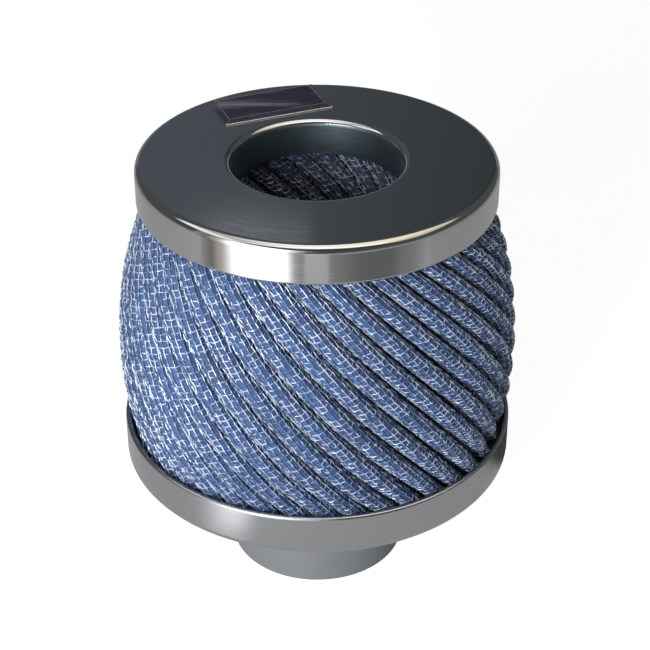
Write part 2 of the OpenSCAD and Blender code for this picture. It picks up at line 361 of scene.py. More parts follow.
@dataclass(frozen=True)
class DyedGauze(Finish):
    """The folded filter sheet: dyed cotton gauze with oil patches, and painted shade that darkens it deep in its
    folds.
    """

    dye: Tone = (0.062, 0.150, 0.36)
    deep_dye: Tone = (0.034, 0.078, 0.21)
    # Painted shade: the colour that the sheet takes deep in its folds.
    fold_shade: Tone = (0.012, 0.028, 0.045)
    fold_shade_from: float = 0.10
    fold_shade_full: float = 0.30
    patches: Cloud = Cloud(60.0, 0.35)
    patch_share: float = 0.5
    threads: float = 0.8
    thread_share: float = 0.5
    thread_bump: float = 0.5
    thread_depth: float = 0.0002
    roughness: float = 0.75
    sheen: float = 0.25
    sheen_roughness: float = 0.4

    def dress(self, graph: Graph, shader: Node, place: Node) -> None:
        """See Finish.dress."""
        weave = EFFECTS.place(graph, Effect.WEAVE, {"Vector": place.outputs["UV"], "Threads": self.threads})
        patch = EFFECTS.cloud(graph, place.outputs["Object"], self.patches)
        patched = graph.math("MULTIPLY_ADD", patch.outputs["Mask"], self.patch_share, 1 - self.patch_share)
        share = graph.math("MULTIPLY_ADD", weave.outputs["Mask"], -self.thread_share, patched, clamp=True)
        colour = graph.mix_colour(share, rgba(self.dye), rgba(self.deep_dye))
        # Painted shade: the deeper a point lies in its fold, the nearer its colour goes to the dark fold tone.
        fold = graph.add("ShaderNodeAttribute", attribute_name="fold_depth").outputs["Fac"]
        graph.feed(shader, {
            "Base Color": graph.mix_colour(graph.ramp(fold, self.fold_shade_from, self.fold_shade_full), colour,
                                           rgba(self.fold_shade)),
            "Normal": graph.bump(weave.outputs["Height"], self.thread_bump, self.thread_depth),
            "Roughness": self.roughness,
            "Sheen Weight": self.sheen,
            "Sheen Roughness": self.sheen_roughness})


@dataclass(frozen=True)
class ScreenWire(Finish):
    """Bright drawn aluminium wire, with dark blue patches that break its shine into painted glints."""

    bright: Tone = (0.82, 0.90, 1.0)
    # Painted shade: the dark blue of the gaps between the painted glints.
    dull: Tone = (0.14, 0.20, 0.36)
    roughness: float = 0.36
    metal: float = 0.55
    glint_breaks: Cloud = Cloud(420.0, 0.42, 0.56)
    glint_break_roughness: float = 0.2

    def dress(self, graph: Graph, shader: Node, place: Node) -> None:
        """See Finish.dress."""
        # Painted glints: patches of the dark tone break each wire into bright dashes.
        glint_breaks = EFFECTS.cloud(graph, place.outputs["Object"], self.glint_breaks).outputs["Mask"]
        graph.feed(shader, {
            "Base Color": graph.mix_colour(glint_breaks, rgba(self.bright), rgba(self.dull)),
            "Roughness": graph.math("MULTIPLY_ADD", glint_breaks, self.glint_break_roughness, self.roughness),
            "Metallic": self.metal})


@dataclass(frozen=True)
class Moulded(Finish):
    """Moulded rubber or resin with a faint grain and uneven sheen."""

    tone: Tone = (0.25, 0.265, 0.285)
    shade: Tone = (0.22, 0.235, 0.255)
    roughness: float = 0.45
    patches: Cloud = Cloud(22.0, 0.35)
    patch_roughness: float = 0.1
    grain: Cloud = Cloud(1500.0)
    grain_bump: float = 0.15
    grain_depth: float = 0.0001

    def dress(self, graph: Graph, shader: Node, place: Node) -> None:
        """See Finish.dress."""
        here = place.outputs["Object"]
        patch = EFFECTS.cloud(graph, here, self.patches).outputs["Mask"]
        grain = EFFECTS.cloud(graph, here, self.grain).outputs["Height"]
        graph.feed(shader, {
            "Base Color": graph.mix_colour(patch, rgba(self.tone), rgba(self.shade)),
            "Roughness": graph.math("MULTIPLY_ADD", patch, self.patch_roughness, self.roughness),
            "Normal": graph.bump(grain, self.grain_bump, self.grain_depth)})


@dataclass(frozen=True)
class InlayFilm(Finish):
    """The badge's dark glossy film, with long soft streaks and nothing printed on it."""

    ground: Tone = (0.012, 0.009, 0.03)
    streak: Tone = (0.27, 0.23, 0.31)
    warm: Tone = (0.30, 0.17, 0.13)
    band_turn: float = -14.0
    band_scale: Place = (18.0, 130.0, 1.0)
    bands: Cloud = Cloud(1.0, 0.45)
    blots: Cloud = Cloud(55.0, 0.55, 0.75)
    blot_share: float = 0.5
    gloss: float = 0.12
    blot_roughness: float = 0.12
    coat: float = 0.6
    coat_roughness: float = 0.08

    def dress(self, graph: Graph, shader: Node, place: Node) -> None:
        """See Finish.dress."""
        here = place.outputs["Object"]
        turned = graph.add("ShaderNodeMapping", {"Vector": here, "Rotation": (0, 0, math.radians(self.band_turn)),
                                                 "Scale": self.band_scale})
        band = EFFECTS.cloud(graph, turned.outputs[0], self.bands).outputs["Mask"]
        blot = EFFECTS.cloud(graph, here, self.blots).outputs["Mask"]
        colour = graph.mix_colour(band, rgba(self.ground), rgba(self.streak))
        graph.feed(shader, {
            "Base Color": graph.mix_colour(graph.math("MULTIPLY", blot, self.blot_share), colour, rgba(self.warm)),
            "Roughness": graph.math("MULTIPLY_ADD", blot, self.blot_roughness, self.gloss),
            "Coat Weight": self.coat,
            "Coat Roughness": self.coat_roughness})


CAP_PLATE = PlatedSteel("cap_plate")
RING_PLATE = PlatedSteel("ring_plate", tone=(0.40, 0.405, 0.42), dull_tone=(0.36, 0.365, 0.38), gloss=0.2,
                         dull=0.34, ring_bump=0.08)
BADGE_PLATE = PlatedSteel("badge_plate_finish", tone=(0.7, 0.7, 0.72), dull_tone=(0.6, 0.6, 0.62), gloss=0.12,
                          dull=0.25)
CUP_STEEL = PlatedSteel("cup_steel", tone=(0.5, 0.5, 0.51), dull_tone=(0.4, 0.4, 0.41), gloss=0.3, dull=0.5,
                        ring_bump=0.2)
GAUZE = DyedGauze("dyed_gauze")
LONG_WIRE = ScreenWire("long_wire")
CROSS_WIRE = ScreenWire("cross_wire", bright=(0.64, 0.78, 1.0), dull=(0.12, 0.19, 0.37), roughness=0.4)
# The inner cone's gauze and wire are darker copies of the wall's: painted shade inside the cap's hole.
SHADED_CONE_GAUZE = DyedGauze("cone_gauze_painted_shade", dye=(0.045, 0.068, 0.15), deep_dye=(0.028, 0.042, 0.10))
SHADED_CONE_WIRE = ScreenWire("cone_wire_painted_shade", bright=(0.50, 0.54, 0.64), dull=(0.08, 0.09, 0.14), roughness=0.45)
# The collar is part of the cap's pressing; its dark teal copy of the plate is painted shade inside the hole.
COLLAR_SHADE_PLATE = PlatedSteel("collar_painted_shade", tone=(0.115, 0.155, 0.18), dull_tone=(0.09, 0.12, 0.145), gloss=0.45,
                           dull=0.6)
BEVEL_FILM = InlayFilm("bevel_film", ground=(0.03, 0.027, 0.05), streak=(0.10, 0.08, 0.13), coat=0.1)
NECK_RUBBER = Moulded("neck_rubber")
COMPOUND = Moulded("potting_compound", tone=(0.035, 0.036, 0.04), shade=(0.025, 0.026, 0.03), roughness=0.5,
                   grain_bump=0.3)


@dataclass(frozen=True)
class Corner:
    """A corner of a turned section, with the radius that rounds it."""

    r: float
    z: float
    round: float = 0.0


@dataclass(frozen=True)
class Turner:
    """Turns sections round the axis, as a lathe does."""

    steps: int = 240
    bend_steps: int = 8

    def turn(self, name: str, section: Sequence[Corner], closed: bool) -> Object:
        """Spins a section and rounds its corners.

        Args:
            name: The piece's name.
            section: Its corners in order, with the visible side on the left.
            closed: Whether the section is closed, as of a solid ring, or open, as of a sheet.

        Returns:
            The finished object, which has no material yet.
        """
        work = bmesh.new()
        verts = [work.verts.new((corner.r * MM, 0.0, corner.z * MM)) for corner in section]
        edges = [work.edges.new(pair) for pair in zip(verts, verts[1:])]
        if closed:
            edges.append(work.edges.new((verts[-1], verts[0])))
        bmesh.ops.spin(work, geom=verts + edges, cent=(0, 0, 0), axis=(0, 0, 1), dvec=(0, 0, 0),
                       angle=2 * math.pi, steps=self.steps, use_merge=True, use_duplicate=False)
        bmesh.ops.remove_doubles(work, verts=work.verts[:], dist=MERGED)
        bmesh.ops.recalc_face_normals(work, faces=work.faces[:])
        self._face_left(work, section[0], section[1])
        for corner in section:
            if corner.round:
                bmesh.ops.bevel(work, geom=self._ring(work, corner), offset=corner.round * MM,
                                offset_type="OFFSET", affect="EDGES", segments=self.bend_steps, profile=0.5,
                                material=-1, clamp_overlap=True)
        return finish_mesh(name, work)

    @staticmethod
    def _ring(work: BMesh, corner: Corner) -> list[BMEdge]:
        """Finds the ring of edges that one corner made.

        Args:
            work: The turned mesh.
            corner: The corner.

        Returns:
            The ring's edges.
        """
        def on_corner(vert: BMVert) -> bool:
            """Tells whether a vertex lies on the corner's circle."""
            far = math.hypot(vert.co.x, vert.co.y) - corner.r * MM
            return max(abs(far), abs(vert.co.z - corner.z * MM)) < TOUCHING

        return [edge for edge in work.edges if all(on_corner(vert) for vert in edge.verts)]

    @staticmethod
    def _face_left(work: BMesh, start: Corner, end: Corner) -> None:
        """Turns all faces so that the first stretch of the section faces its left side.

        Args:
            work: The turned mesh.
            start: The section's first corner.
            end: The section's second corner.
        """
        middle_r, middle_z = (start.r + end.r) / 2 * MM, (start.z + end.z) / 2 * MM
        left = Vector((-(end.z - start.z), end.r - start.r)).normalized()

        def distance(face: BMFace) -> float:
            """Measures how far a face's middle is from the first stretch's middle, in the section."""
            centre = face.calc_center_median()
            return math.hypot(math.hypot(centre.x, centre.y) - middle_r, centre.z - middle_z)

        nearest = min(work.faces, key=distance)
        centre = nearest.calc_center_median()
        outward = Vector((centre.x, centre.y)).normalized()
        normal = nearest.normal
        if (normal.x * outward.x + normal.y * outward.y) * left.x + normal.z * left.y < 0:
            bmesh.ops.reverse_faces(work, faces=work.faces[:])


def show(name: str, data: ID) -> Object:
    """Adds an object with this data to the scene and returns it."""
    shown = bpy.data.objects.new(name, data)
    bpy.context.scene.collection.objects.link(shown)
    return shown


def finish_mesh(name: str, work: BMesh, sharp: float = 35.0) -> Object:
    """Makes a smooth-shaded object of a bmesh.

    Args:
        name: The piece's name.
        work: The bmesh, which is freed.
        sharp: Angle between faces, in degrees, above which an edge stays sharp.

    Returns:
        The object, linked to the scene.
    """
    mesh = bpy.data.meshes.new(name)
    work.to_mesh(mesh)
    work.free()
    mesh.shade_smooth()
    mesh.set_sharp_from_angle(angle=math.radians(sharp))
    return show(name, mesh)


def thicken(piece: Object, wall: float, even: bool = True) -> Object:
    """Gives an open sheet its wall, away from its visible side.

    Args:
        piece: The sheet.
        wall: The wall's thickness.
        even: Whether the thickness is kept round corners, which suits all but tight folds.

    Returns:
        The same object.
    """
    solid = piece.modifiers.new("wall", "SOLIDIFY")
    solid.thickness = wall * MM
    solid.offset = -1.0
    solid.use_even_offset = even
    return piece


def level_shading(piece: Object) -> Object:
    """Keeps the flats flat in reflections, beside their rounded corners, and returns the object."""
    weighted = piece.modifiers.new("flats", "WEIGHTED_NORMAL")
    weighted.keep_sharp = True
    weighted.weight = 80
    return piece


def press(name: str, section: Sequence[Corner], sheet: float) -> Object:
    """Makes a pressing of sheet metal.

    Args:
        name: The piece's name.
        section: The corners of its visible side, which lies on the section's left.
        sheet: The sheet's thickness.

    Returns:
        The pressing, which has no material yet.
    """
    return level_shading(thicken(Turner().turn(name, section, closed=False), sheet))


def draw_wires(name: str, runs: Iterable[np.ndarray], radius: float) -> Object:
    """Makes one mesh of many thin wires.

    Args:
        name: The piece's name.
        runs: The points of each wire, in millimetres.
        radius: The wire's radius.

    Returns:
        The object, linked to the scene.
    """
    curve = bpy.data.curves.new(name + "_lines", "CURVE")
    curve.dimensions = "3D"
    curve.bevel_depth = radius * MM
    curve.bevel_resolution = 0
    curve.use_fill_caps = True
    for points in runs:
        spline = curve.splines.new("POLY")
        spline.points.add(len(points) - 1)
        spline.points.foreach_set("co", np.c_[points * MM, np.ones(len(points))].astype(np.float32).ravel())
    lines = show(curve.name, curve)
    mesh = bpy.data.meshes.new_from_object(lines.evaluated_get(bpy.context.evaluated_depsgraph_get()))
    bpy.data.objects.remove(lines)
    bpy.data.curves.remove(curve)
    mesh.name = name
    mesh.shade_smooth()
    return show(name, mesh)


class SubAssembly(ABC):
    """A part of the filter that is built and dressed by itself."""

    @abstractmethod
    def build(self) -> list[Object]:
        """Builds, dresses and mounts the pieces, and returns them."""

    @staticmethod
    def mount(piece: Object, finish: Finish, slot: str, *nodes: str) -> Object:
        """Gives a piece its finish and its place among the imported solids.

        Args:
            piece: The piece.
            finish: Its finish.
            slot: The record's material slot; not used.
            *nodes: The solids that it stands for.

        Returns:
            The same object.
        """
        piece.data.materials.clear()
        piece.data.materials.append(finish.material())
        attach(piece, ROOT)
        if nodes:
            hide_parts(*nodes)
        LOG.info("%s stands for %s", piece.name, ", ".join(nodes) or "no solid")
        return piece


class Crowns(enum.Enum):
    """Which way a pack's round crowns face."""

    OUT = 1
    IN = -1


@dataclass(frozen=True)
class Ripple:
    """A slow wave with a weaker fast one on it, both in half turns over a pleat's height."""

    slow: float
    fast: float
    fast_share: float

    def at(self, t: np.ndarray, slow_phase: np.ndarray, fast_phase: np.ndarray) -> np.ndarray:
        """Works out the ripple, from -1 to 1.

        Args:
            t: Shares of the pleat's height.
            slow_phase: The slow wave's phase at each of them.
            fast_phase: The fast wave's phase at each of them.

        Returns:
            The ripple at each of them.
        """
        slow = np.sin(self.slow * math.pi * t + slow_phase)
        return (slow + self.fast_share * np.sin(self.fast * math.pi * t + fast_phase)) / (1 + self.fast_share)


class Spots(NamedTuple):
    """Where points of a folded sheet lie in the section of their pleats.

    Attributes:
        pleat: The pleat's number.
        share: The share of the pitch from the pleat's middle.
        deep: The depth below its crown.
        out: The outward part of the sheet's normal.
        sideways: The sideways part of the sheet's normal.
    """

    pleat: np.ndarray
    share: np.ndarray
    deep: np.ndarray
    out: np.ndarray
    sideways: np.ndarray


@dataclass
class PleatPack(SubAssembly):
    """A ring of twisted pleats with a woven wire screen on its crowns.

    The sheet is laid out by s, in millimetres across it, and by z, the height.
    """

    name: str
    count: int
    foot_z: float
    head_z: float
    depth: float
    crown_h: float
    groove_share: float
    lean: float
    crowns: Crowns
    seed: int
    sheet_t: float = 1.2
    rows: int = 72
    crown_columns: int = 9
    screen_h: float = 1.08
    wire_r: float = 0.23
    cross_r: float = 0.21
    wire_amp: float = 0.28
    wire_spacing: float = 1.8
    cross_spacing: float = 1.85
    cross_rise: float = 0.2
    drift: float = 0.125
    screen_depth: float = 6.5
    wander_share: float = 0.035
    wander_depth: float = 0.35
    sway: Ripple = Ripple(2.1, 5.3, 0.6)
    swell: Ripple = Ripple(2.7, 6.9, 0.5)
    end_rise: float = 3.0
    screen_inset: float = 0.8
    slot: str = "pleats"
    gauze: Finish = GAUZE
    long_wire: Finish = LONG_WIRE
    cross_wire: Finish = CROSS_WIRE
    arc_points: int = 60
    flank_points: int = 40
    turn_points: int = 400
    _section: np.ndarray = field(init=False, repr=False, default=None)
    _turns: np.ndarray = field(init=False, repr=False, default=None)
    _phases: np.ndarray = field(init=False, repr=False, default=None)

    def __post_init__(self) -> None:
        """Works out the section of one pleat and how far the pack has turned at each height."""
        half = (1 - self.groove_share) / 2
        pitch = self.pitch_mm() * math.cos(math.radians(self.lean))
        angle = np.linspace(0, math.pi / 2, self.arc_points)
        share = np.concatenate([half * np.sin(angle), np.linspace(half, 0.5, self.flank_points)[1:]])
        deep = np.concatenate([self.crown_h * (1 - np.cos(angle)),
                               np.linspace(self.crown_h, self.depth - self.sheet_t, self.flank_points)[1:]])
        step = np.hypot(np.diff(share) * pitch, np.diff(deep))
        run = np.concatenate([[0.0], np.cumsum(step)])
        slope_x, slope_d = np.gradient(share * pitch, run), np.gradient(deep, run)
        self._section = np.stack([run, share, deep, slope_d, slope_x])
        heights = np.linspace(self.foot_z, self.head_z, self.turn_points)
        self._turns = np.stack([heights, self.turns(heights)])
        self._phases = np.random.default_rng(self.seed).uniform(0, 2 * math.pi, (4, self.count))

    @abstractmethod
    def radius(self, z: np.ndarray) -> np.ndarray:
        """Returns the radius over the crowns at each height."""

    @abstractmethod
    def turns(self, z: np.ndarray) -> np.ndarray:
        """Returns the direction of the first crown at each height, in degrees."""

    @abstractmethod
    def pitch_mm(self) -> float:
        """Returns the distance between two crowns round the pack, where its section is drawn."""

    def pleat_width(self) -> float:
        """Returns how much sheet one pleat takes."""
        return 2 * float(self._section[0, -1])

    def where(self, s: np.ndarray) -> Spots:
        """Finds places on the sheet in their pleats' section.

        Args:
            s: Places across the sheet.

        Returns:
            Where they lie.
        """
        width = self.pleat_width()
        pleat = np.floor(s / width)
        local = s - (pleat + 0.5) * width
        side = np.where(local < 0, -1.0, 1.0)
        run, share, deep, slope_d, slope_x = self._section
        reach = np.abs(local)
        return Spots(pleat, side * np.interp(reach, run, share), np.interp(reach, run, deep),
                     np.interp(reach, run, slope_x), side * np.interp(reach, run, slope_d))

    def place(self, s: np.ndarray, z: np.ndarray, lift: np.ndarray | float = 0.0) -> np.ndarray:
        """Places points of the sheet in space.

        Args:
            s: Places across the sheet.
            z: Heights.
            lift: Distance above the sheet's crown side.

        Returns:
            One row of x, y and z for each point.
        """
        spots = self.where(s)
        phase = self._phases[:, spots.pleat.astype(int) % self.count]
        t = (z - self.foot_z) / (self.head_z - self.foot_z)
        free = (1 - (2 * spots.share) ** 2) * np.clip(4 * t * (1 - t) * self.end_rise, 0, 1)
        share = spots.share + self.wander_share * self.sway.at(t, phase[0], phase[1]) * free
        deep = spots.deep + self.wander_depth * (self.swell.at(t, phase[2], phase[3]) + 1) / 2 * free
        inward = deep + self.screen_h - lift * spots.out
        r = self.radius(z) - self.crowns.value * inward
        turn = np.interp(z, self._turns[0], self._turns[1]) + (spots.pleat + share) * (360 / self.count)
        a = np.radians(turn) + lift * spots.sideways / r
        return np.stack([r * np.cos(a), r * np.sin(a), z], axis=1)

    def columns(self) -> np.ndarray:
        """Returns the places across the sheet at which its mesh has a column, round the whole pack."""
        run, share = self._section[0], self._section[1]
        half = (1 - self.groove_share) / 2
        crown = np.interp(half * np.sin(np.linspace(0, math.pi / 2, self.crown_columns // 2 + 1)), share, run)
        flank = np.linspace(crown[-1], run[-1], 4)[1:]
        one_side = np.concatenate([crown, flank])
        pleat = np.concatenate([-one_side[::-1], one_side[1:]])[:-1]
        width = self.pleat_width()
        around = [pleat + (k + 0.5) * width for k in range(self.count)]
        return np.concatenate(around + [[self.count * width]])

    def sheet(self) -> Object:
        """Builds the folded sheet from a flat grid.

        Returns:
            The sheet, with a UV map in millimetres.
        """
        columns, heights = self.columns(), np.linspace(self.foot_z, self.head_z, self.rows + 1)
        work = bmesh.new()
        bmesh.ops.create_grid(work, x_segments=len(columns) - 1, y_segments=self.rows, size=0.5)
        flat = np.array([vert.co for vert in work.verts])
        s = columns[np.rint((flat[:, 0] + 0.5) * (len(columns) - 1)).astype(int)]
        z = heights[np.rint((flat[:, 1] + 0.5) * self.rows).astype(int)]
        layer = work.loops.layers.uv.new("sheet")
        # fold_depth drives the gauze's painted shade deep in its folds.
        fold = work.verts.layers.float.new("fold_depth")
        work.verts.index_update()
        for face in work.faces:
            for loop in face.loops:
                loop[layer].uv = (s[loop.vert.index], z[loop.vert.index])
        for vert, point, deep in zip(work.verts, self.place(s, z) * MM, self.where(s).deep / self.depth):
            vert.co = point
            vert[fold] = deep
        bmesh.ops.remove_doubles(work, verts=work.verts[:], dist=TOUCHING)
        work.normal_update()
        face = min(work.faces, key=lambda f: -self.crowns.value * math.hypot(*f.calc_center_median().xy))
        middle = face.calc_center_median()
        if (face.normal.x * middle.x + face.normal.y * middle.y) * self.crowns.value < 0:
            bmesh.ops.reverse_faces(work, faces=work.faces[:])
        return thicken(finish_mesh(self.name + "_sheet", work, sharp=80.0), self.sheet_t, even=False)

    def levels(self) -> np.ndarray:
        """Returns the heights at which cross wires pass the middle of a pleat."""
        count = int((self.head_z - self.foot_z - 2 * self.screen_inset) / self.cross_spacing)
        return self.foot_z + self.screen_inset + np.arange(count + 1) * self.cross_spacing

    def wire_count(self) -> int:
        """Returns the number of long wires, which is even, so that the weave closes round the pack."""
        return int(round(self.count * self.pleat_width() / self.wire_spacing / 2)) * 2

    def wire_gap(self) -> float:
        """Returns the distance between two long wires."""
        return self.count * self.pleat_width() / self.wire_count()

    def woven(self, crossing: np.ndarray, over: int) -> np.ndarray:
        """Works out how far a wire is lifted where it crosses others.

        Args:
            crossing: The number of each crossing.
            over: 1 for a wire that passes over at odd crossings, -1 for one that passes over at even ones.

        Returns:
            The lift at each crossing.
        """
        return self.wire_r + self.wire_amp * (1 + over * np.where(crossing % 2, 1.0, -1.0))

    def climbing(self, z: np.ndarray | float, share: np.ndarray) -> np.ndarray:
        """Works out how high the crossings lie, because the cross wires climb or drop across each pleat.

        Args:
            z: The cross wires' heights at the middle of the pleat.
            share: The crossings' shares of the pitch from that middle.

        Returns:
            The crossings' heights, kept on the sheet.
        """
        return np.clip(z + self.cross_rise * share * self.pitch_mm(), self.foot_z, self.head_z)

    def lengthwise(self) -> list[np.ndarray]:
        """Lays the wires that run along the pleats, over and under the cross wires.

        Returns:
            The points of each visible run.
        """
        gap = self.wire_gap()
        heights = self.levels()
        number = np.arange(len(heights))
        runs = []
        for i in range(self.wire_count()):
            s = (i + 0.5) * gap + self.drift * (heights - self.foot_z)
            spots = self.where(s)
            points = self.place(s, self.climbing(heights, spots.share), self.woven(i + number, 1))
            runs += self._split(points, spots.deep < self.screen_depth)
        return runs

    def across(self) -> list[np.ndarray]:
        """Lays the short wires that arch over each crown.

        Returns:
            The points of each wire.
        """
        gap = self.wire_gap()
        reach = float(np.interp(self.screen_depth, self._section[2], self._section[0]))
        runs = []
        for j, height in enumerate(self.levels()):
            slide = self.drift * (height - self.foot_z)
            for k in range(self.count):
                middle = (k + 0.5) * self.pleat_width()
                first = math.ceil((middle - reach - slide) / gap - 0.5)
                last = math.floor((middle + reach - slide) / gap - 0.5)
                i = np.arange(first, last + 1)
                s = (i + 0.5) * gap + slide
                if len(s) > 1:
                    runs.append(self.place(s, self.climbing(height, self.where(s).share), self.woven(i + j, -1)))
        return runs

    @staticmethod
    def _split(points: np.ndarray, shown: np.ndarray) -> list[np.ndarray]:
        """Cuts a line of points into its shown runs.

        Args:
            points: The line.
            shown: Which points are shown.

        Returns:
            Each run of two points or more.
        """
        cuts = np.flatnonzero(np.diff(shown.astype(int))) + 1
        parts = np.split(np.arange(len(points)), cuts)
        return [points[part] for part in parts if shown[part[0]] and len(part) > 1]

    def build(self) -> list[Object]:
        """See SubAssembly.build."""
        sheet = self.mount(self.sheet(), self.gauze, self.slot, self.node())
        long = draw_wires(self.name + "_long_wires", self.lengthwise(), self.wire_r)
        cross = draw_wires(self.name + "_cross_wires", self.across(), self.cross_r)
        return [sheet, self.mount(long, self.long_wire, self.slot), self.mount(cross, self.cross_wire, self.slot)]

    @abstractmethod
    def node(self) -> str:
        """Returns the name of the solid that the pack stands for."""


@dataclass
class Wall(PleatPack):
    """The outer pack, which bulges and twists between the base ring and the cap."""

    name: str = "wall"
    count: int = 40
    foot_z: float = 58.3
    head_z: float = 164.2
    depth: float = 16.0
    crown_h: float = 3.6
    groove_share: float = 0.30
    lean: float = 43.5
    crowns: Crowns = Crowns.OUT
    seed: int = 11
    belly_r: float = 77.1
    belly_z: float = 94.0
    top_r: float = 64.1
    base_r: float = 72.8
    skirt_z: float = 157.0
    ring_z: float = 64.3
    curve: float = 2.2
    phase: float = -85.5

    def radius(self, z: np.ndarray) -> np.ndarray:
        """See PleatPack.radius."""
        above = np.clip((z - self.belly_z) / (self.skirt_z - self.belly_z), 0, 1)
        below = np.clip((self.belly_z - z) / (self.belly_z - self.ring_z), 0, 1)
        return (self.belly_r - (self.belly_r - self.top_r) * above ** self.curve
                - (self.belly_r - self.base_r) * below ** self.curve)

    def turns(self, z: np.ndarray) -> np.ndarray:
        """See PleatPack.turns."""
        rate = math.tan(math.radians(self.lean)) / self.belly_r * (self.belly_r / self.radius(z)) ** 2
        steps = (rate[1:] + rate[:-1]) / 2 * np.diff(z)
        return self.phase - np.degrees(np.concatenate([[0.0], np.cumsum(steps)]))

    def pitch_mm(self) -> float:
        """See PleatPack.pitch_mm."""
        return 2 * math.pi * self.belly_r / self.count

    def node(self) -> str:
        """See PleatPack.node."""
        return "pleated_wall"


@dataclass
class InnerCone(PleatPack):
    """The inner pack, which narrows downward and shows through the cap's hole."""

    name: str = "cone"
    count: int = 22
    foot_z: float = 102.2
    head_z: float = 164.2
    depth: float = 7.0
    crown_h: float = 2.6
    groove_share: float = 0.22
    lean: float = 41.0
    crowns: Crowns = Crowns.IN
    seed: int = 5
    rows: int = 48
    drift: float = 0.1
    cross_rise: float = -0.15
    screen_depth: float = 4.5
    wander_share: float = 0.03
    wander_depth: float = 0.2
    mouth_r: float = 35.5
    angle: float = 11.0
    phase: float = 90.0
    # Darker copies of the wall's finishes, as painted shade.
    gauze: Finish = SHADED_CONE_GAUZE
    long_wire: Finish = SHADED_CONE_WIRE
    cross_wire: Finish = SHADED_CONE_WIRE

    def radius(self, z: np.ndarray) -> np.ndarray:
        """See PleatPack.radius."""
        return self.mouth_r - (self.head_z - z) * math.tan(math.radians(self.angle))

    def turns(self, z: np.ndarray) -> np.ndarray:
        """See PleatPack.turns."""
        foot_r = self.radius(np.array([self.foot_z]))[0]
        rate = math.tan(math.radians(self.lean)) / math.tan(math.radians(self.angle))
        return self.phase + np.degrees(rate * np.log(self.radius(z) / foot_r))

    def pitch_mm(self) -> float:
        """See PleatPack.pitch_mm."""
        return 2 * math.pi * self.mouth_r / self.count

    def node(self) -> str:
        """See PleatPack.node."""
        return "cone_pleats"


# Two corners fill a rolled edge almost to its half round, and the sheet ends just past it.
ROLL = 0.99
ROLL_END = 1.02


@dataclass
class PressedCap(SubAssembly):
    """The plated cap with its skirt, its hole and the collar that is turned down round it."""

    radius: float = 67.0
    top_z: float = 172.0
    skirt_h: float = 15.0
    sheet: float = 0.8
    edge_round: float = 3.0
    hem: float = 1.2
    hole_r: float = 31.7
    lip_round: float = 2.5
    collar_h: float = 14.0
    collar_margin: float = 0.2

    def build(self) -> list[Object]:
        """See SubAssembly.build."""
        foot = self.top_z - self.skirt_h
        hem_r = self.radius - 2 * self.hem
        section = [
            Corner(self.hole_r, self.top_z - self.collar_h),
            Corner(self.hole_r, self.top_z, self.lip_round),
            Corner(self.radius, self.top_z, self.edge_round),
            Corner(self.radius, foot, self.hem * ROLL),
            Corner(hem_r, foot, self.hem * ROLL),
            Corner(hem_r, foot + self.hem * ROLL_END),
        ]
        cap = self.mount(press("cap_pressing", section, self.sheet), CAP_PLATE, "plated_steel", "top_cap")
        # The collar round the hole takes a darker copy of the plate, as painted shade.
        cap.data.materials.append(COLLAR_SHADE_PLATE.material())
        for face in cap.data.polygons:
            face.material_index = int(math.hypot(*face.center.xy) < (self.hole_r + self.collar_margin) * MM)
        return [cap]


